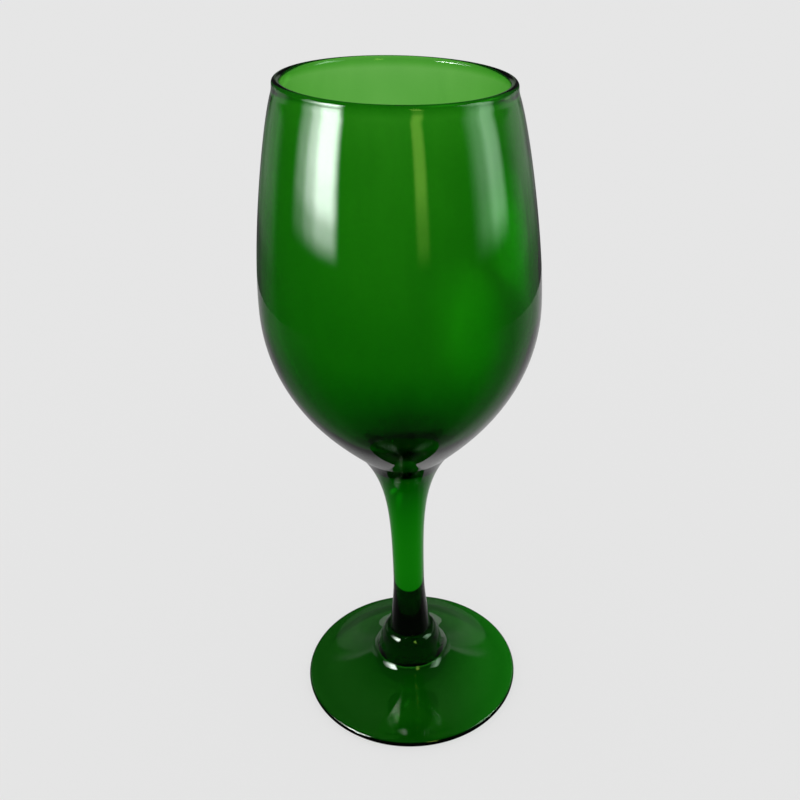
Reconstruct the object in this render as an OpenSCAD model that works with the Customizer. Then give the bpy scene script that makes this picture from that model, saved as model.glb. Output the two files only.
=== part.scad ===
// Stemmed wine glass in solid-coloured green glass.
// Three pieces made hot and fused end to end: a blown bowl with a fire-polished
// rim, a drawn stem with flared ends, and a pressed round foot.
// Origin: on the axis of revolution, in the plane that the foot rests on. +Z is up.
// All lengths are in millimetres and all angles in degrees.

/* [Part] */
// Piece to draw

/* [Overall] */
// Height from the resting plane to the top of the rim
overall_h = 205; // [190:1:225]

/* [Bowl] */
// Outer diameter of the rim
rim_d = 63.4; // [55:0.1:75]
// Thickness of the rounded bead at the rim
rim_bead_d = 2.3; // [1.6:0.1:3.5]
// Outer diameter of the wall where it starts to straighten up into the rim
mouth_d = 64.1; // [55:0.1:76]
// How far that place lies under the top of the rim
mouth_drop = 3.6; // [2.6:0.1:6]
// Outer diameter at the widest level
belly_d = 80.5; // [70:0.5:95]
// Height of the widest level above the resting plane
belly_h = 143; // [130:1:160]
// Lean of the wall at the mouth, from upright
mouth_lean = 19; // [0:1:30]
// Wall thickness just under the rim bead
mouth_wall = 1.8; // [1.2:0.1:3.2]
// Wall thickness at the widest level
belly_wall = 2.3; // [1.4:0.1:3.5]
// Glass thickness at the bottom of the bowl, on the axis
bottom_wall = 7; // [3:0.1:8]

/* [Upper weld: bowl to stem] */
// Diameter of the weld ring
neck_d = 29.2; // [20:0.2:34]
// Height of the weld ring above the resting plane
neck_h = 93.6; // [85:0.2:105]
// Lean of the bowl wall just above the weld, from upright
neck_lean_bowl = 44; // [35:1:60]
// Lean of the stem just below the weld, from upright
neck_lean_stem = 35.5; // [20:0.5:45]

/* [Stem] */
// Diameter at the waist, the thinnest level
waist_d = 10.3; // [8:0.1:14]
// Height of the waist above the resting plane
waist_h = 43; // [30:1:60]

/* [Collar: lower end of the stem] */
// Diameter of the stem where it meets the collar
collar_d = 14.2; // [12:0.1:17]
// Height of that place above the resting plane
collar_h = 21.2; // [19:0.1:24]
// Lean of the stem just above the collar, from upright
collar_lean = 8; // [2:1:14]
// Lean of the collar's ledge, from upright
ledge_lean = 85; // [60:1:90]

/* [Lower weld: stem to foot] */
// Diameter of the weld ring, at the widest of the collar
heel_d = 21.6; // [19:0.1:25]
// Height of the weld ring above the resting plane
heel_h = 14.6; // [13:0.1:17]
// Lean of the outer face at the weld, from upright
heel_lean = 14; // [5:1:25]
// Rise of the fused face from the ring to the axis
heel_dome = 0.8; // [0.2:0.1:2]

/* [Foot] */
// Diameter of the foot
foot_d = 72.6; // [62:0.2:85]
// Thickness of the foot's rounded edge
edge_t = 2.3; // [1.8:0.1:4]
// Lean of the foot's top at the edge, from upright
edge_lean = 83; // [75:1:88]
// Diameter where the round foot of the collar runs out into the foot's coned top
knee_d = 28; // [26:0.5:34]
// Height of that place above the resting plane
knee_h = 10; // [9:0.1:11.5]
// Lean of the foot's top there, from upright
knee_lean = 64; // [58:1:70]
// Diameter of the hollow under the foot
hollow_d = 64; // [52:0.5:66]
// Depth of the hollow on the axis
hollow_t = 8; // [3:0.1:9]

/* [Hidden] */

// Facets of a full turn
turn_n = 128;
// Spans along one curve of an outline
span_n = 14;
// Spans along one rounded edge
round_n = 10;
// Radii of the rim bead and of the foot's rounded edge
bead_r = rim_bead_d / 2;
edge_r = edge_t / 2;

// Handle lengths of the outline curves: how far each curve keeps its end direction
rim_pull = 0.8;
mouth_pull = 11;
belly_pull_up = 16.5;
belly_pull_down = 24.5;
neck_pull_bowl = 12.8;
neck_pull_stem = 15;
waist_pull_up = 26;
waist_pull_down = 9;
collar_pull = 5;
ledge_pull = 2.3;
heel_pull_stem = 3;
heel_pull_foot = 2.2;
knee_pull_in = 2;
knee_pull_out = 7;
edge_pull = 7;
hollow_pull_rim = 6.3;
hollow_rise_rim = 1.9;
hollow_pull_middle = 13;
inside_pull_side = 24;
inside_pull_floor = 17;
inside_pull_mouth = 12;

// Named points of the outlines, as [radius, height]
bead_c = [rim_d / 2 - bead_r, overall_h - bead_r];
rim_out = bead_c + [bead_r, 0];
mouth_out = [mouth_d / 2, overall_h - mouth_drop];
mouth_in = [rim_d / 2 - mouth_wall, overall_h - rim_bead_d];
belly_out = [belly_d / 2, belly_h];
belly_in = belly_out - [belly_wall, 0];
neck_p = [neck_d / 2, neck_h];
waist_p = [waist_d / 2, waist_h];
collar_p = [collar_d / 2, collar_h];
heel_p = [heel_d / 2, heel_h];
knee_p = [knee_d / 2, knee_h];
edge_c = [foot_d / 2 - edge_r, edge_r];

// The bowl's underside is a ball cap that runs on smoothly from the wall into the weld
cap_r = neck_p[0] / cos(neck_lean_bowl);
cap_c = [0, neck_h + cap_r * sin(neck_lean_bowl)];
floor_h = cap_c[1] - cap_r + bottom_wall;
// The fused face of the foot is a shallower ball cap
heel_r = (heel_p[0] * heel_p[0] + heel_dome * heel_dome) / (2 * heel_dome);
heel_c = [0, heel_h + heel_dome - heel_r];

// A step from point p, going down and outwards at a lean from upright
function step(p, lean, len) = p + len * [sin(lean), -cos(lean)];

// Cubic curve from a to d with handles b and c, without its last point
function curve(a, b, c, d, n) = [
    for (i = [0 : n - 1])
        let (t = i / n, u = 1 - t)
        u * u * u * a + 3 * u * u * t * b + 3 * u * t * t * c + t * t * t * d
];

// Arc about c from angle a0 to a1, both ends included
function arc(c, r, a0, a1, n) = [
    for (i = [0 : n])
        let (a = a0 + (a1 - a0) * i / n)
        c + r * [cos(a), sin(a)]
];

// Outside of the bowl from the rim down to the weld ring
function bowl_outside() = concat(
    curve(
        rim_out,
        rim_out - [0, rim_pull],
        step(mouth_out, mouth_lean, -rim_pull),
        mouth_out,
        round_n / 2
    ),
    curve(
        mouth_out,
        step(mouth_out, mouth_lean, mouth_pull),
        belly_out + [0, belly_pull_up],
        belly_out,
        span_n
    ),
    curve(
        belly_out,
        belly_out - [0, belly_pull_down],
        step(neck_p, 180 - neck_lean_bowl, neck_pull_bowl),
        neck_p,
        span_n
    )
);

// Fused face between bowl and stem, from the weld ring in to the axis
function neck_face() = arc(cap_c, cap_r, -neck_lean_bowl, -90, round_n);

// Inside of the bowl from its floor up to the mouth
function bowl_inside() = concat(
    curve(
        [0, floor_h],
        [inside_pull_floor, floor_h],
        belly_in - [0, inside_pull_side],
        belly_in,
        span_n + 4
    ),
    curve(
        belly_in,
        belly_in + [0, belly_pull_up],
        step(mouth_in, mouth_lean, inside_pull_mouth),
        mouth_in,
        span_n
    )
);

// Fused face between stem and foot, from the weld ring in to the axis
function heel_face() = arc(heel_c, heel_r, asin((heel_h - heel_c[1]) / heel_r), 90, round_n);

function reversed(list) = [for (i = [len(list) - 1 : -1 : 0]) list[i]];

// Blown bowl: thin wall, rounded rim bead, thick floor
module bowl() {
    color([0.10, 0.44, 0.05])
    rotate_extrude($fn = turn_n)
    polygon(concat(
        bowl_outside(),
        neck_face(),
        bowl_inside(),
        arc(bead_c, bead_r, 200, 10, 2 * round_n - 1)
    ));
}

// Solid stem: cup-shaped top end, waist, round-shouldered collar at the lower end
module stem() {
    color([0.05, 0.36, 0.03])
    rotate_extrude($fn = turn_n)
    polygon(concat(
        curve(
            neck_p,
            neck_p + neck_pull_stem * [-sin(neck_lean_stem), -cos(neck_lean_stem)],
            waist_p + [0, waist_pull_up],
            waist_p,
            span_n + 4
        ),
        curve(
            waist_p,
            waist_p - [0, waist_pull_down],
            step(collar_p, collar_lean, -collar_pull),
            collar_p,
            span_n
        ),
        curve(
            collar_p,
            step(collar_p, ledge_lean, ledge_pull),
            step(heel_p, heel_lean, -heel_pull_stem),
            heel_p,
            span_n
        ),
        heel_face(),
        reversed([for (p = neck_face()) if (p[0] < neck_p[0] - 0.001) p])
    ));
}

// Pressed foot: gently coned top, rounded edge, flat rest ring, hollow underside
module foot() {
    edge_top = edge_c + edge_r * [cos(edge_lean), sin(edge_lean)];
    color([0.05, 0.33, 0.06])
    rotate_extrude($fn = turn_n)
    polygon(concat(
        curve(
            heel_p,
            step(heel_p, heel_lean, heel_pull_foot),
            step(knee_p, knee_lean, -knee_pull_in),
            knee_p,
            span_n
        ),
        curve(
            knee_p,
            step(knee_p, knee_lean, knee_pull_out),
            step(edge_top, edge_lean, -edge_pull),
            edge_top,
            span_n
        ),
        arc(edge_c, edge_r, edge_lean, -90, round_n),
        curve(
            [hollow_d / 2, 0],
            [hollow_d / 2 - hollow_pull_rim, hollow_rise_rim],
            [hollow_pull_middle, hollow_t],
            [0, hollow_t],
            span_n + 4
        ),
        [[0, hollow_t]],
        reversed([for (p = heel_face()) if (p[0] < heel_p[0] - 0.001) p])
    ));
}

bowl();
stem();
foot();
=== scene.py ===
import bpy
import math
from mathutils import Euler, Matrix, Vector, noise


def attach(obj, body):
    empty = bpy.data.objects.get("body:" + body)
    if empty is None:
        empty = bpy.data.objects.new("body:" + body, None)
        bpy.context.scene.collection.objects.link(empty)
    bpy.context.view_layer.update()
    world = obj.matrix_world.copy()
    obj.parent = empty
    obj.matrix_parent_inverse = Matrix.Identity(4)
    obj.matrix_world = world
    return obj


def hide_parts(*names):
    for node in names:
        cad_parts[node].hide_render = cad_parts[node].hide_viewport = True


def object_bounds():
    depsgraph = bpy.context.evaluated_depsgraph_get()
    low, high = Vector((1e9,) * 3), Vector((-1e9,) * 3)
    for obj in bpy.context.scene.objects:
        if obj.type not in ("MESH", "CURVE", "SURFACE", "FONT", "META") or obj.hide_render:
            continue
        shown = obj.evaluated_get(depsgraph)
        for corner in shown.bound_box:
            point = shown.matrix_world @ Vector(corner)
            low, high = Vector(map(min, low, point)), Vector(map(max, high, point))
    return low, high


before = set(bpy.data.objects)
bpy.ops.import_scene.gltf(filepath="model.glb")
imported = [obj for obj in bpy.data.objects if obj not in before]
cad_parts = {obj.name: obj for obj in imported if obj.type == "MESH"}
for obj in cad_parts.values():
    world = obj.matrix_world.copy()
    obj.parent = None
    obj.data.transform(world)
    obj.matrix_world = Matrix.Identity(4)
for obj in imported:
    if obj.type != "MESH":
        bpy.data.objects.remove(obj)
cad_low, cad_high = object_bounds()

MM = 0.001
TAU = 2 * math.pi
scene = bpy.context.scene

# ---------------------------------------------------------------- outline curves, in millimetres


def step(p, lean, length):
    """A point further down and outwards from p, at a lean from upright in degrees."""
    a = math.radians(lean)
    return (p[0] + length * math.sin(a), p[1] - length * math.cos(a))


def below(p, length):
    """A point straight below p."""
    return (p[0], p[1] - length)


def curve(a, b, c, d, spans):
    """Cubic curve from a to d, without its last point."""
    points = []
    for i in range(spans):
        t = i / spans
        u = 1 - t
        wa, wb, wc, wd = u ** 3, 3 * u * u * t, 3 * u * t * t, t ** 3
        points.append(tuple(wa * a[k] + wb * b[k] + wc * c[k] + wd * d[k] for k in (0, 1)))
    return points


def arc(centre, radius, start, end, spans):
    """Arc from angle start to angle end in degrees, both ends included."""
    points = []
    for i in range(spans + 1):
        a = math.radians(start + (end - start) * i / spans)
        points.append((centre[0] + radius * math.cos(a), centre[1] + radius * math.sin(a)))
    return points


# ---------------------------------------------------------------- dimensions of the glass, in millimetres

OVERALL_H = cad_high.z / MM
BEAD_R = 1.15
RIM_OUT = (31.7, OVERALL_H - BEAD_R)
MOUTH_WALL = 1.8
BELLY_WALL = 2.3
BOTTOM_WALL = 7
MOUTH_OUT = (32.05, OVERALL_H - 3.6)
MOUTH_IN = (RIM_OUT[0] - MOUTH_WALL, OVERALL_H - 2 * BEAD_R)
MOUTH_LEAN = 19
BELLY_OUT = (40.25, 143)
BELLY_IN = (BELLY_OUT[0] - BELLY_WALL, BELLY_OUT[1])
NECK = (14.6, 93.6)
NECK_LEAN_BOWL = 44
NECK_LEAN_STEM = 35.5
WAIST = (5.15, 43)
COLLAR = (7.1, 21.2)
COLLAR_LEAN_ABOVE = 8
COLLAR_LEAN_BELOW = 85
HEEL = (10.8, 14.6)
HEEL_LEAN = 14
KNEE = (14, 10)
KNEE_LEAN = 64
HEEL_DOME = 0.8
FOOT_R = 36.3
EDGE_R = 1.15
EDGE_LEAN = 83
HOLLOW_R = 32
HOLLOW_DEPTH = 8
# Handle lengths of the outline curves: how far each curve keeps its end direction
RIM_PULL = 0.8
MOUTH_PULL = 11
BELLY_PULL_UP = 16.5
BELLY_PULL_DOWN = 24.5
NECK_PULL_BOWL = 12.8
NECK_PULL_STEM = 15
WAIST_PULL_UP = 26
WAIST_PULL_DOWN = 9
COLLAR_PULL = 5
LEDGE_PULL = 2.3
HEEL_PULL_STEM = 3
HEEL_PULL_FOOT = 2.2
KNEE_PULL_IN = 2
KNEE_PULL_OUT = 7
EDGE_PULL = 7
HOLLOW_PULL_RIM = 6.3
HOLLOW_RISE_RIM = 1.9
HOLLOW_PULL_MIDDLE = 13
INSIDE_PULL_SIDE = 24
INSIDE_PULL_FLOOR = 17
INSIDE_PULL_MOUTH = 12
# How far the bowl's inner face stands off centre, and how far its rim is out of level, in degrees
WALL_SHIFT = 0.1
RIM_TILT = 2.64
# The tilt grows from this share of the height up to the rim, and the wall's lean grows with this power
TILT_FROM = 0.45
LEAN_GROWTH = 1.35
# Heights between which the shift and the waves rise to their full size, and then fade again
SHIFT_FADE = (105, 125, 170, 198)
WAVES_FADE = (96, 112, 190, 202)
# Radii between which the waves of the foot's top rise and fade
FOOT_FADE = (11.5, 16, 33, 36)
# Waves of the blown wall as (size, depth), on its inner and on its outer face, and of the foot's top
INSIDE_WAVES = (15, 0.12)
OUTSIDE_WAVES = (25, 0.06)
FOOT_WAVES = (14, 0.05)
BOWL_SEED = 7
FOOT_SEED = 3
# The foot has no waves below this height, so that it rests flat
FLAT_BELOW = 0.5
# The fused pieces stand this far apart, so that no two faces share a place
WELD_GAP = 0.01

CAP_R = NECK[0] / math.cos(math.radians(NECK_LEAN_BOWL))
CAP_C = (0, NECK[1] + CAP_R * math.sin(math.radians(NECK_LEAN_BOWL)))
FLOOR_H = CAP_C[1] - CAP_R + BOTTOM_WALL
HEEL_CAP_R = (HEEL[0] ** 2 + HEEL_DOME ** 2) / (2 * HEEL_DOME)
HEEL_C = (0, HEEL[1] + HEEL_DOME - HEEL_CAP_R)
HEEL_ANGLE = math.degrees(math.asin((HEEL[1] - HEEL_C[1]) / HEEL_CAP_R))
EDGE_C = (FOOT_R - EDGE_R, EDGE_R)
EDGE_TOP = arc(EDGE_C, EDGE_R, EDGE_LEAN, -90, 8)[0]

# ---------------------------------------------------------------- outlines: lists of (points, face) runs

# What a stretch of an outline makes: a free outer face, the bowl's inner face, or a face fused to the
# next piece. The last number of each curve and arc is the count of its spans.
OUTSIDE, INSIDE, FUSED = "outside", "inside", "fused"

HEEL_ARC = arc(HEEL_C, HEEL_CAP_R, HEEL_ANGLE, 90, 12)
NECK_ARC = arc(CAP_C, CAP_R, -NECK_LEAN_BOWL, -90, 16)

rim_to_mouth = curve(
    RIM_OUT,
    below(RIM_OUT, RIM_PULL),
    step(MOUTH_OUT, MOUTH_LEAN, -RIM_PULL),
    MOUTH_OUT,
    8,
)
mouth_to_belly = curve(
    MOUTH_OUT,
    step(MOUTH_OUT, MOUTH_LEAN, MOUTH_PULL),
    below(BELLY_OUT, -BELLY_PULL_UP),
    BELLY_OUT,
    44,
)
belly_to_neck = curve(
    BELLY_OUT,
    below(BELLY_OUT, BELLY_PULL_DOWN),
    step(NECK, 180 - NECK_LEAN_BOWL, NECK_PULL_BOWL),
    NECK,
    48,
)
floor_to_belly = curve(
    (0, FLOOR_H),
    (INSIDE_PULL_FLOOR, FLOOR_H),
    below(BELLY_IN, INSIDE_PULL_SIDE),
    BELLY_IN,
    56,
)
belly_to_mouth = curve(
    BELLY_IN,
    below(BELLY_IN, -BELLY_PULL_UP),
    step(MOUTH_IN, MOUTH_LEAN, INSIDE_PULL_MOUTH),
    MOUTH_IN,
    40,
)
rim_bead = arc((RIM_OUT[0] - BEAD_R, RIM_OUT[1]), BEAD_R, 200, 0, 28)
bowl_runs = [
    (rim_to_mouth + mouth_to_belly + belly_to_neck, OUTSIDE),
    (NECK_ARC, FUSED),
    (floor_to_belly + belly_to_mouth, INSIDE),
    (rim_bead, OUTSIDE),
]

neck_to_waist = curve(
    NECK,
    step(NECK, -NECK_LEAN_STEM, NECK_PULL_STEM),
    below(WAIST, -WAIST_PULL_UP),
    WAIST,
    52,
)
waist_to_collar = curve(
    WAIST,
    below(WAIST, WAIST_PULL_DOWN),
    step(COLLAR, 180 + COLLAR_LEAN_ABOVE, COLLAR_PULL),
    COLLAR,
    44,
)
collar_to_heel = curve(
    COLLAR,
    step(COLLAR, COLLAR_LEAN_BELOW, LEDGE_PULL),
    step(HEEL, 180 + HEEL_LEAN, HEEL_PULL_STEM),
    HEEL,
    20,
)
stem_runs = [
    (neck_to_waist + waist_to_collar + collar_to_heel, OUTSIDE),
    ([(x, z + WELD_GAP) for x, z in HEEL_ARC], FUSED),
    ([(x, z - WELD_GAP) for x, z in reversed(NECK_ARC)], FUSED),
]

heel_to_knee = curve(
    HEEL,
    step(HEEL, HEEL_LEAN, HEEL_PULL_FOOT),
    step(KNEE, 180 + KNEE_LEAN, KNEE_PULL_IN),
    KNEE,
    16,
)
knee_to_edge = curve(
    KNEE,
    step(KNEE, KNEE_LEAN, KNEE_PULL_OUT),
    step(EDGE_TOP, 180 + EDGE_LEAN, EDGE_PULL),
    EDGE_TOP,
    32,
)
round_edge = arc(EDGE_C, EDGE_R, EDGE_LEAN, -90, 18)
hollow = curve(
    (HOLLOW_R, 0),
    (HOLLOW_R - HOLLOW_PULL_RIM, HOLLOW_RISE_RIM),
    (HOLLOW_PULL_MIDDLE, HOLLOW_DEPTH),
    (0, HOLLOW_DEPTH),
    40,
)
foot_runs = [
    (heel_to_knee + knee_to_edge + round_edge + hollow + [(0, HOLLOW_DEPTH)], OUTSIDE),
    (list(reversed(HEEL_ARC)), FUSED),
]

# ---------------------------------------------------------------- turned meshes

TURNS = 192
# Outline points closer together than this are one point
SAME_POINT = 0.002
# The two ends of an outline are joined where they are closer than this
SAME_END = 0.012
# A point nearer to the axis than this lies on it
ON_AXIS = 1e-6
# Bends sharper than this, in degrees, are shaded as a crease
CREASE = 25


def smooth(x, start, end):
    """Rises smoothly from 0 at start to 1 at end. It falls from 1 to 0 where end lies before start."""
    t = min(max((x - start) / (end - start), 0), 1)
    return t * t * (3 - 2 * t)


def between(x, levels):
    """Rises from the first level to the second, and falls from the third to the fourth."""
    low, full, still, gone = levels
    return smooth(x, low, full) * smooth(x, gone, still)


def unchanged(p, face):
    """A piece without any mark of handwork."""
    return p


def bowl_by_hand(p, face):
    """The bowl as blown: the rim out of level, the wall uneven in thickness and faintly wavy."""
    x, y, z = p
    r = math.hypot(x, y)
    inward = (-x / r, -y / r)
    # Thinner on the left than on the right, because the inner face stands off centre
    if face == INSIDE:
        x -= WALL_SHIFT * between(z, SHIFT_FADE)
    # Waves that fade out at the weld and at the rim
    fade = between(z, WAVES_FADE)
    size, depth = INSIDE_WAVES if face == INSIDE else OUTSIDE_WAVES
    wave = depth * fade * noise.noise(Vector((x / size, y / size, z / size + BOWL_SEED)))
    x += inward[0] * wave
    y += inward[1] * wave
    # The rim rises to the left: each point slides up or down along the wall, so the outline stays
    tilting = max(0, (z / OVERALL_H - TILT_FROM) / (1 - TILT_FROM)) ** 2
    rise = -math.tan(math.radians(RIM_TILT)) * x * tilting
    leaning = max(0, (z - BELLY_OUT[1]) / (MOUTH_OUT[1] - BELLY_OUT[1])) ** LEAN_GROWTH
    lean = math.tan(math.radians(MOUTH_LEAN)) * leaning
    return (x + inward[0] * lean * rise, y + inward[1] * lean * rise, z + rise)


def foot_by_hand(p, face):
    """The foot as pressed and spun: its top is faintly wavy."""
    x, y, z = p
    if face == FUSED or z < FLAT_BELOW:
        return p
    r = math.hypot(x, y)
    fade = between(r, FOOT_FADE)
    size, depth = FOOT_WAVES
    return (x, y, z + depth * fade * noise.noise(Vector((x / size, y / size, FOOT_SEED))))


def turned(name, runs, by_hand):
    """Closed mesh turned about the Z axis from an outline given as runs of (points, face)."""
    rings = []
    for points, face in runs:
        for p in points:
            if rings and math.hypot(rings[-1][0] - p[0], rings[-1][1] - p[1]) < SAME_POINT:
                rings[-1] = (rings[-1][0], rings[-1][1], face)
                continue
            rings.append((p[0], p[1], face))
    if math.hypot(rings[0][0] - rings[-1][0], rings[0][1] - rings[-1][1]) < SAME_END:
        rings.pop()
    vertices = []
    first = []
    for r, z, face in rings:
        first.append(len(vertices))
        if r < ON_AXIS:
            vertices.append((0, 0, z))
            continue
        for k in range(TURNS):
            a = TAU * k / TURNS
            vertices.append(by_hand((r * math.cos(a), r * math.sin(a), z), face))
    faces = []
    marks = []
    count = len(rings)
    for i in range(count):
        j = (i + 1) % count
        at_axis_i = rings[i][0] < ON_AXIS
        at_axis_j = rings[j][0] < ON_AXIS
        if at_axis_i and at_axis_j:
            continue
        for k in range(TURNS):
            m = (k + 1) % TURNS
            if at_axis_i:
                faces.append((first[i], first[j] + k, first[j] + m))
            elif at_axis_j:
                faces.append((first[i] + k, first[j], first[i] + m))
            else:
                faces.append((first[i] + k, first[j] + k, first[j] + m, first[i] + m))
            marks.append(1.0 if rings[i][2] == FUSED else 0.0)
    mesh = bpy.data.meshes.new(name)
    mesh.from_pydata([tuple(c * MM for c in v) for v in vertices], [], faces)
    mesh.update()
    layer = mesh.attributes.new("fused", "FLOAT", "FACE")
    layer.data.foreach_set("value", marks)
    mesh.polygons.foreach_set("use_smooth", [True] * len(faces))
    creased = set()
    for i in range(count):
        before = rings[i - 1]
        after = rings[(i + 1) % count]
        turn_in = math.atan2(rings[i][1] - before[1], rings[i][0] - before[0])
        turn_out = math.atan2(after[1] - rings[i][1], after[0] - rings[i][0])
        bend = abs((turn_out - turn_in + math.pi) % TAU - math.pi)
        if bend > math.radians(CREASE) or (before[2] == FUSED) != (rings[i][2] == FUSED):
            creased.add(i)
    ring_of = {}
    for i in range(count):
        if rings[i][0] >= ON_AXIS:
            for k in range(TURNS):
                ring_of[first[i] + k] = i
    for edge in mesh.edges:
        a, b = edge.vertices
        if ring_of.get(a, -1) == ring_of.get(b, -2) and ring_of[a] in creased:
            edge.use_edge_sharp = True
    obj = bpy.data.objects.new(name, mesh)
    scene.collection.objects.link(obj)
    return obj


bowl = turned("bowl_glass_body", bowl_runs, bowl_by_hand)
stem = turned("stem_glass_body", stem_runs, unchanged)
foot = turned("foot_glass_body", foot_runs, foot_by_hand)

for piece, node in ((bowl, "bowl"), (stem, "stem"), (foot, "foot")):
    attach(piece, "root")
    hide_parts(node)

# ---------------------------------------------------------------- glass material


def glass(name, density, tint, seed):
    """Clear glass that is coloured through its whole thickness. Density is per metre."""
    material = bpy.data.materials.new(name)
    material.use_nodes = True
    nodes = material.node_tree.nodes
    links = material.node_tree.links
    nodes.clear()
    out = nodes.new("ShaderNodeOutputMaterial")
    free = nodes.new("ShaderNodeBsdfPrincipled")
    free.inputs["Transmission Weight"].default_value = 1
    free.inputs["IOR"].default_value = 1.52
    # A fused face bends and mirrors nothing: the glass runs on through it
    joined = nodes.new("ShaderNodeBsdfRefraction")
    joined.inputs["IOR"].default_value = 1.0
    joined.inputs["Roughness"].default_value = 0.0
    which = nodes.new("ShaderNodeAttribute")
    which.attribute_name = "fused"
    shaders = nodes.new("ShaderNodeMixShader")
    links.new(which.outputs["Fac"], shaders.inputs["Fac"])
    links.new(free.outputs[0], shaders.inputs[1])
    links.new(joined.outputs[0], shaders.inputs[2])
    volume = nodes.new("ShaderNodeVolumeAbsorption")
    volume.inputs["Color"].default_value = (*tint, 1)
    volume.inputs["Density"].default_value = density
    place = nodes.new("ShaderNodeTexCoord")
    # Cords: faint streaks along the way the hot glass was drawn
    drawn = nodes.new("ShaderNodeMapping")
    drawn.inputs["Location"].default_value = (seed, seed, seed)
    drawn.inputs["Scale"].default_value = (1, 1, 0.16)
    links.new(place.outputs["Object"], drawn.inputs["Vector"])
    cords = nodes.new("ShaderNodeTexNoise")
    cords.inputs["Scale"].default_value = 170
    cords.inputs["Detail"].default_value = 3
    links.new(drawn.outputs["Vector"], cords.inputs["Vector"])
    cord_tone = nodes.new("ShaderNodeValToRGB")
    cord_tone.color_ramp.elements[0].position = 0.3
    cord_tone.color_ramp.elements[0].color = (0.90, 0.95, 0.90, 1)
    cord_tone.color_ramp.elements[1].position = 0.7
    cord_tone.color_ramp.elements[1].color = (1, 1, 1, 1)
    links.new(cords.outputs["Fac"], cord_tone.inputs["Fac"])
    links.new(cord_tone.outputs["Color"], free.inputs["Base Color"])
    # Handling haze: patches of barely rougher surface
    haze = nodes.new("ShaderNodeTexNoise")
    haze.inputs["Scale"].default_value = 60
    haze.inputs["Detail"].default_value = 4
    links.new(place.outputs["Object"], haze.inputs["Vector"])
    haze_amount = nodes.new("ShaderNodeMapRange")
    haze_amount.inputs["From Min"].default_value = 0.45
    haze_amount.inputs["From Max"].default_value = 0.75
    haze_amount.inputs["To Min"].default_value = 0.0
    haze_amount.inputs["To Max"].default_value = 0.05
    links.new(haze.outputs["Fac"], haze_amount.inputs["Value"])
    links.new(haze_amount.outputs["Result"], free.inputs["Roughness"])
    # Skin of the hot-worked surface: shallow ripples
    skin = nodes.new("ShaderNodeBump")
    skin.inputs["Strength"].default_value = 0.35
    skin.inputs["Distance"].default_value = 0.00006
    links.new(cords.outputs["Fac"], skin.inputs["Height"])
    links.new(skin.outputs["Normal"], free.inputs["Normal"])
    links.new(shaders.outputs[0], out.inputs["Surface"])
    links.new(volume.outputs[0], out.inputs["Volume"])
    return material


# The bowl's glass is coloured more densely than the stem's and the foot's, so the bowl looks darker
bowl.data.materials.append(glass("bowl_glass", 1400, (0.27, 0.735, 0.04), 0))
stem.data.materials.append(glass("stem_glass", 585, (0.17, 0.75, 0.05), 1))
foot.data.materials.append(glass("foot_glass", 600, (0.17, 0.72, 0.05), 2))

# ---------------------------------------------------------------- camera

camera = bpy.data.objects.new("camera", bpy.data.cameras.new("camera"))
scene.collection.objects.link(camera)
scene.camera = camera
camera.data.sensor_width = 36
camera.data.lens = 44.09
camera.data.clip_start = 0.01
camera.data.clip_end = 50
CAMERA_BACK = 0.2587
CAMERA_UP = 0.2566
PITCH = 29.51
TURN = 0.22
ROLL = -1.91
camera.location = (0, -CAMERA_BACK, CAMERA_UP)
aim = Euler((math.radians(90 - PITCH), 0, 0)).to_matrix()
spin = Euler((0, 0, math.radians(ROLL))).to_matrix()
swing = Euler((0, 0, math.radians(TURN))).to_matrix()
camera.rotation_mode = "QUATERNION"
camera.rotation_quaternion = (swing @ aim @ spin).to_quaternion()

# ---------------------------------------------------------------- floor, world and light

# Sizes of the floor, of the round screen that the glass mirrors and of the pool of green light, in metres
FLOOR_HALF = 6
SCREEN_R = 0.4
SCREEN_H = 1.2
POOL_R = 0.038
DISC_SPANS = 96
# Order of the flat things under the glass, from the lowest up
FLOOR_Z = -0.0002
LIT_FLOOR_Z = -0.00015
POOL_Z = -0.0001
TABLE_Z = -0.0001


def disc_points(z, radius=SCREEN_R):
    """Corners of a level disc about the Z axis."""
    turns = [TAU * k / DISC_SPANS for k in range(DISC_SPANS)]
    return [(radius * math.cos(a), radius * math.sin(a), z) for a in turns]


def mesh_of(name, corners, faces):
    """Mesh from its corners and faces."""
    mesh = bpy.data.meshes.new(name)
    mesh.from_pydata(corners, [], faces)
    return mesh


def floor_sheet(name):
    """A large level square."""
    corners = [(-FLOOR_HALF, -FLOOR_HALF, 0), (FLOOR_HALF, -FLOOR_HALF, 0)]
    corners += [(FLOOR_HALF, FLOOR_HALF, 0), (-FLOOR_HALF, FLOOR_HALF, 0)]
    return mesh_of(name, corners, [(0, 1, 2, 3)])


def disc(name, radius=SCREEN_R):
    """Level disc about the Z axis."""
    return mesh_of(name, disc_points(0, radius), [tuple(range(DISC_SPANS))])


def only_through_glass(obj):
    """Hide an object from everything but the light that comes through the glass."""
    obj.visible_camera = False
    obj.visible_diffuse = False
    obj.visible_glossy = False
    obj.visible_shadow = False


def ramp(nodes, stops):
    """Grey ramp from a list of (position, value) with smooth stretches between them."""
    node = nodes.new("ShaderNodeValToRGB")
    node.color_ramp.interpolation = "EASE"
    elements = node.color_ramp.elements
    while len(elements) < len(stops):
        elements.new(0.5)
    for element, (position, value) in zip(elements, stops):
        element.position = position
        element.color = (value, value, value, 1)
    return node


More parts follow.
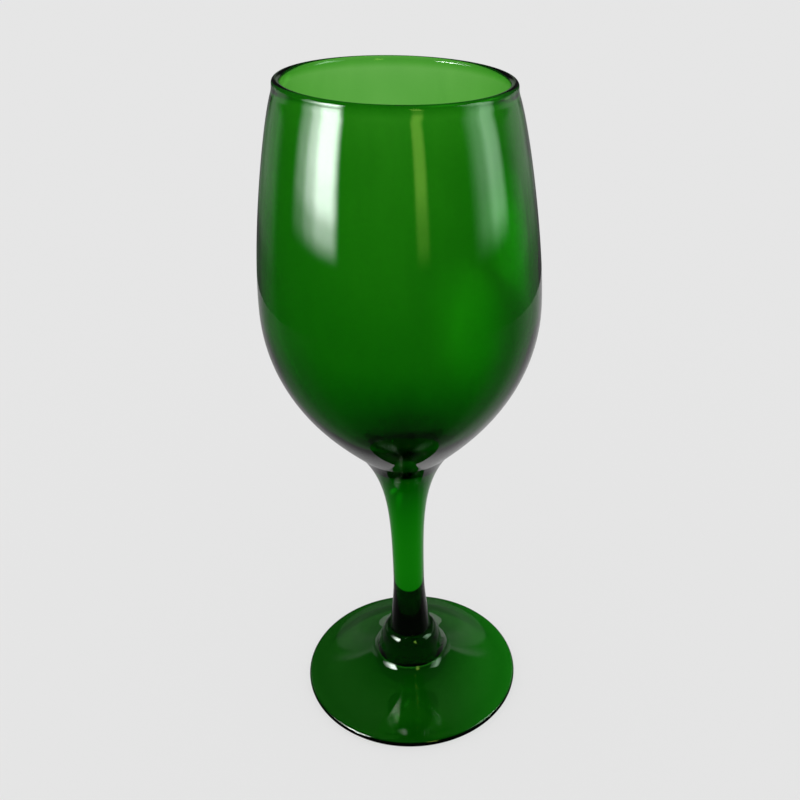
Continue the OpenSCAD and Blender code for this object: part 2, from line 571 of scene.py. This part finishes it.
floor_mesh = floor_sheet("floor")
floor = bpy.data.objects.new("floor", floor_mesh)
floor.location.z = FLOOR_Z
scene.collection.objects.link(floor)
pale = bpy.data.materials.new("pale_floor")
pale.use_nodes = True
pale_surface = pale.node_tree.nodes["Principled BSDF"]
pale_surface.inputs["Base Color"].default_value = (0.2, 0.2, 0.2, 1)
pale_surface.inputs["Roughness"].default_value = 1
pale_surface.inputs["Specular IOR Level"].default_value = 0
pale_surface.inputs["Emission Color"].default_value = (1, 1, 1, 1)
pale_surface.inputs["Emission Strength"].default_value = 0.63
floor_mesh.materials.append(pale)

world = bpy.data.worlds.new("studio")
scene.world = world
world.use_nodes = True
world.node_tree.nodes["Background"].inputs["Color"].default_value = (0.8, 0.8, 0.8, 1)
world.node_tree.nodes["Background"].inputs["Strength"].default_value = 1.0

# What is seen through the glass: the same floor, better lit in two soft patches on the right
LIT_PLAIN = 0.80
# Patches as (centre, half sizes, extra light)
LIT_PATCHES = [
    ((0.055, 0.27, 0), (0.035, 0.12, 1), 0.5),
    ((0.15, 0.42, 0), (0.06, 0.16, 1), 1.2),
]
# A patch is at its brightest and is gone at these distances from its centre, in half sizes
PATCH_FULL = 0.2
PATCH_GONE = 1.2
through_mesh = floor_sheet("lit_floor")
through = bpy.data.objects.new("lit_floor", through_mesh)
through.location.z = LIT_FLOOR_Z
only_through_glass(through)
scene.collection.objects.link(through)
lit = bpy.data.materials.new("lit_floor")
lit.use_nodes = True
lit_nodes = lit.node_tree.nodes
lit_links = lit.node_tree.links
lit_nodes.clear()
lit_out = lit_nodes.new("ShaderNodeOutputMaterial")
lit_glow = lit_nodes.new("ShaderNodeEmission")
lit_place = lit_nodes.new("ShaderNodeTexCoord")
lit_total = None
for centre, half_sizes, extra in LIT_PATCHES:
    from_centre = lit_nodes.new("ShaderNodeVectorMath")
    from_centre.operation = "SUBTRACT"
    from_centre.inputs[1].default_value = centre
    lit_links.new(lit_place.outputs["Object"], from_centre.inputs[0])
    in_half_sizes = lit_nodes.new("ShaderNodeVectorMath")
    in_half_sizes.operation = "DIVIDE"
    in_half_sizes.inputs[1].default_value = half_sizes
    lit_links.new(from_centre.outputs[0], in_half_sizes.inputs[0])
    how_far = lit_nodes.new("ShaderNodeVectorMath")
    how_far.operation = "LENGTH"
    lit_links.new(in_half_sizes.outputs[0], how_far.inputs[0])
    patch = lit_nodes.new("ShaderNodeMapRange")
    patch.interpolation_type = "SMOOTHSTEP"
    patch.inputs["From Min"].default_value = PATCH_FULL
    patch.inputs["From Max"].default_value = PATCH_GONE
    patch.inputs["To Min"].default_value = extra
    patch.inputs["To Max"].default_value = 0
    lit_links.new(how_far.outputs["Value"], patch.inputs["Value"])
    added = lit_nodes.new("ShaderNodeMath")
    added.operation = "ADD"
    added.inputs[0].default_value = LIT_PLAIN
    if lit_total is not None:
        lit_links.new(lit_total, added.inputs[0])
    lit_links.new(patch.outputs["Result"], added.inputs[1])
    lit_total = added.outputs[0]
lit_links.new(lit_total, lit_glow.inputs["Strength"])
lit_links.new(lit_glow.outputs[0], lit_out.inputs["Surface"])
through_mesh.materials.append(lit)

# The light that has come down through the green foot lies under it as a pool, brighter towards the right
POOL_LEFT = (0.006, 0.072, 0.004)
POOL_RIGHT = (0.01, 0.19, 0.008)
POOL_RISE = 0.005
pool_mesh = disc("green_pool", POOL_R)
pool = bpy.data.objects.new("green_pool", pool_mesh)
pool.location.z = POOL_Z
only_through_glass(pool)
scene.collection.objects.link(pool)
green = bpy.data.materials.new("green_pool")
green.use_nodes = True
green_nodes = green.node_tree.nodes
green_links = green.node_tree.links
green_nodes.clear()
green_out = green_nodes.new("ShaderNodeOutputMaterial")
green_glow = green_nodes.new("ShaderNodeEmission")
green_place = green_nodes.new("ShaderNodeTexCoord")
green_split = green_nodes.new("ShaderNodeSeparateXYZ")
green_links.new(green_place.outputs["Object"], green_split.inputs[0])
green_across = green_nodes.new("ShaderNodeMapRange")
green_across.interpolation_type = "SMOOTHSTEP"
green_across.inputs["From Min"].default_value = POOL_RISE
green_across.inputs["From Max"].default_value = POOL_R
green_links.new(green_split.outputs["X"], green_across.inputs["Value"])
green_tone = green_nodes.new("ShaderNodeValToRGB")
green_tone.color_ramp.elements[0].color = (*POOL_LEFT, 1)
green_tone.color_ramp.elements[1].color = (*POOL_RIGHT, 1)
green_links.new(green_across.outputs["Result"], green_tone.inputs["Fac"])
green_links.new(green_tone.outputs["Color"], green_glow.inputs["Color"])
green_links.new(green_glow.outputs[0], green_out.inputs["Surface"])
pool_mesh.materials.append(green)

# ---------------------------------------------------------------- what the glass mirrors

# A round screen about the glass, seen only in reflections: a dim room with a window, a strip, a card and
# pale walls on it. Angles are in degrees about the Z axis from the camera's side (-Y), positive to the
# right, and heights are in metres.
floor.visible_glossy = False


def only_in_reflections(obj):
    """Hide an object from everything but what the glass mirrors."""
    obj.visible_camera = False
    obj.visible_diffuse = False
    obj.visible_transmission = False
    obj.visible_shadow = False


def mirrored(name, around, lamps):
    """Emission by angle about the axis (around), plus lamps as (angles, heights, colour, strength)."""
    material = bpy.data.materials.new(name)
    material.use_nodes = True
    nodes = material.node_tree.nodes
    links = material.node_tree.links
    nodes.clear()
    out = nodes.new("ShaderNodeOutputMaterial")
    place = nodes.new("ShaderNodeTexCoord")
    split = nodes.new("ShaderNodeSeparateXYZ")
    links.new(place.outputs["Object"], split.inputs[0])
    back = nodes.new("ShaderNodeMath")
    back.operation = "MULTIPLY"
    back.inputs[1].default_value = -1
    links.new(split.outputs["Y"], back.inputs[0])
    angle = nodes.new("ShaderNodeMath")
    angle.operation = "ARCTAN2"
    links.new(split.outputs["X"], angle.inputs[0])
    links.new(back.outputs[0], angle.inputs[1])
    turn = nodes.new("ShaderNodeMath")
    turn.operation = "MULTIPLY_ADD"
    turn.inputs[1].default_value = 1 / TAU
    turn.inputs[2].default_value = 0.5
    links.new(angle.outputs[0], turn.inputs[0])
    height = nodes.new("ShaderNodeMath")
    height.operation = "MULTIPLY"
    height.inputs[1].default_value = 1 / SCREEN_H
    links.new(split.outputs["Z"], height.inputs[0])
    room = ramp(nodes, [(a / 360 + 0.5, v) for a, v in around])
    links.new(turn.outputs[0], room.inputs["Fac"])
    total = room.outputs["Color"]
    for angles, heights, colour, strength in lamps:
        across = ramp(nodes, [(a / 360 + 0.5, v) for a, v in angles])
        links.new(turn.outputs[0], across.inputs["Fac"])
        upwards = ramp(nodes, [(z / SCREEN_H, v) for z, v in heights])
        links.new(height.outputs[0], upwards.inputs["Fac"])
        shape = nodes.new("ShaderNodeVectorMath")
        shape.operation = "MULTIPLY"
        links.new(across.outputs["Color"], shape.inputs[0])
        links.new(upwards.outputs["Color"], shape.inputs[1])
        lit = nodes.new("ShaderNodeVectorMath")
        lit.operation = "MULTIPLY_ADD"
        lit.inputs[1].default_value = [strength * c for c in colour]
        links.new(shape.outputs[0], lit.inputs[0])
        links.new(total, lit.inputs[2])
        total = lit.outputs[0]
    glow = nodes.new("ShaderNodeEmission")
    links.new(total, glow.inputs["Color"])
    links.new(glow.outputs[0], out.inputs["Surface"])
    return material


screen_sides = []
for k in range(DISC_SPANS):
    m = (k + 1) % DISC_SPANS
    screen_sides.append((k, m, DISC_SPANS + m, DISC_SPANS + k))
screen_top = tuple(range(DISC_SPANS, 2 * DISC_SPANS))
screen_mesh = mesh_of("screen", disc_points(0) + disc_points(SCREEN_H), screen_sides + [screen_top])
screen = bpy.data.objects.new("screen", screen_mesh)
scene.collection.objects.link(screen)
only_in_reflections(screen)
# Brightness of the dim room by angle
ROOM = [(-180, 0.02), (-130, 0.03), (-90, 0.02), (60, 0.02), (100, 0.05), (180, 0.02)]
# Lamps as (brightness by angle, brightness by height, colour, strength)
# The window on the left, which draws the widest streak down the bowl
WINDOW = (
    [(-92, 0), (-80, 0.15), (-71, 0.5), (-62, 1), (-52, 1), (-44, 0)],
    [(0.105, 0), (0.14, 0.35), (0.175, 0.85), (0.22, 1), (0.42, 1), (0.48, 0)],
    (0.96, 1.06, 0.99),
    22,
)
# The narrow yellow-green strip near the middle
STRIP = (
    [(12, 0), (15.5, 1), (20.5, 1), (24.5, 0)],
    [(0.11, 0), (0.15, 0.4), (0.22, 1), (0.40, 1), (0.44, 0)],
    (1.0, 1.6, 0.25),
    1.9,
)
# The broad pale green streak on the right
WALL_CARD = (
    [(56, 0), (72, 0.45), (80, 1), (88, 0.75), (97, 0)],
    [(0.09, 0), (0.14, 0.8), (0.20, 1), (0.45, 1), (0.55, 0)],
    (0.85, 1.3, 0.9),
    4.0,
)
# The pale table and the wall behind the glass, at both sides, mirrored by the edges of the bowl
BACK_HEIGHTS = [(0, 0.15), (0.04, 0.2), (0.08, 0.55), (0.13, 1), (0.20, 1), (0.235, 0)]
BACK_RIGHT = (
    [(95, 0), (120, 1), (136, 1), (147, 0)],
    BACK_HEIGHTS,
    (1.0, 1.1, 1.0),
    0.42,
)
BACK_LEFT = (
    [(-147, 0), (-136, 1), (-120, 1), (-105, 0)],
    BACK_HEIGHTS,
    (1.0, 1.1, 1.0),
    0.3,
)
# The same further round to the back, mirrored by the very edge of the bowl
EDGE_HEIGHTS = [(0, 0.25), (0.04, 0.4), (0.09, 1), (0.15, 1), (0.17, 0)]
EDGE_RIGHT = (
    [(138, 0), (148, 1), (180, 1)],
    EDGE_HEIGHTS,
    (1.0, 1.1, 1.0),
    0.2,
)
EDGE_LEFT = (
    [(-180, 1), (-148, 1), (-138, 0)],
    EDGE_HEIGHTS,
    (1.0, 1.1, 1.0),
    0.15,
)
# The wall straight behind the glass, mirrored by the rim and by the far side of the foot
FAR_HEIGHTS = [(0.18, 0), (0.22, 1), (0.27, 1), (0.31, 0)]
FAR_RIGHT = (
    [(162, 0), (170, 1), (180, 1)],
    FAR_HEIGHTS,
    (0.85, 1.2, 0.8),
    0.2,
)
FAR_LEFT = (
    [(-180, 1), (-170, 1), (-162, 0)],
    FAR_HEIGHTS,
    (0.85, 1.2, 0.8),
    0.2,
)
LAMPS = [WINDOW, STRIP, WALL_CARD, BACK_RIGHT, BACK_LEFT]
LAMPS += [EDGE_RIGHT, EDGE_LEFT, FAR_RIGHT, FAR_LEFT]
screen_mesh.materials.append(mirrored("screen_glow", ROOM, LAMPS))

# The table as the glass mirrors it, brighter behind the glass
table_mesh = disc("table")
table = bpy.data.objects.new("table", table_mesh)
table.location.z = TABLE_Z
scene.collection.objects.link(table)
only_in_reflections(table)
TABLE = [
    (-180, 0.45),
    (-150, 0.35),
    (-120, 0.15),
    (-90, 0.05),
    (-60, 0.02),
    (60, 0.02),
    (90, 0.08),
    (120, 0.30),
    (150, 0.50),
    (180, 0.50),
]
table_mesh.materials.append(mirrored("table_glow", TABLE, []))

# ---------------------------------------------------------------- how light and colour are worked out

# Light crosses up to a dozen faces on its way through bowl, stem and foot
GLASS_BOUNCES = 24
scene.view_settings.view_transform = "Standard"
scene.view_settings.look = "None"
scene.cycles.max_bounces = GLASS_BOUNCES
scene.cycles.transmission_bounces = GLASS_BOUNCES
scene.cycles.glossy_bounces = 12
scene.cycles.transparent_max_bounces = GLASS_BOUNCES
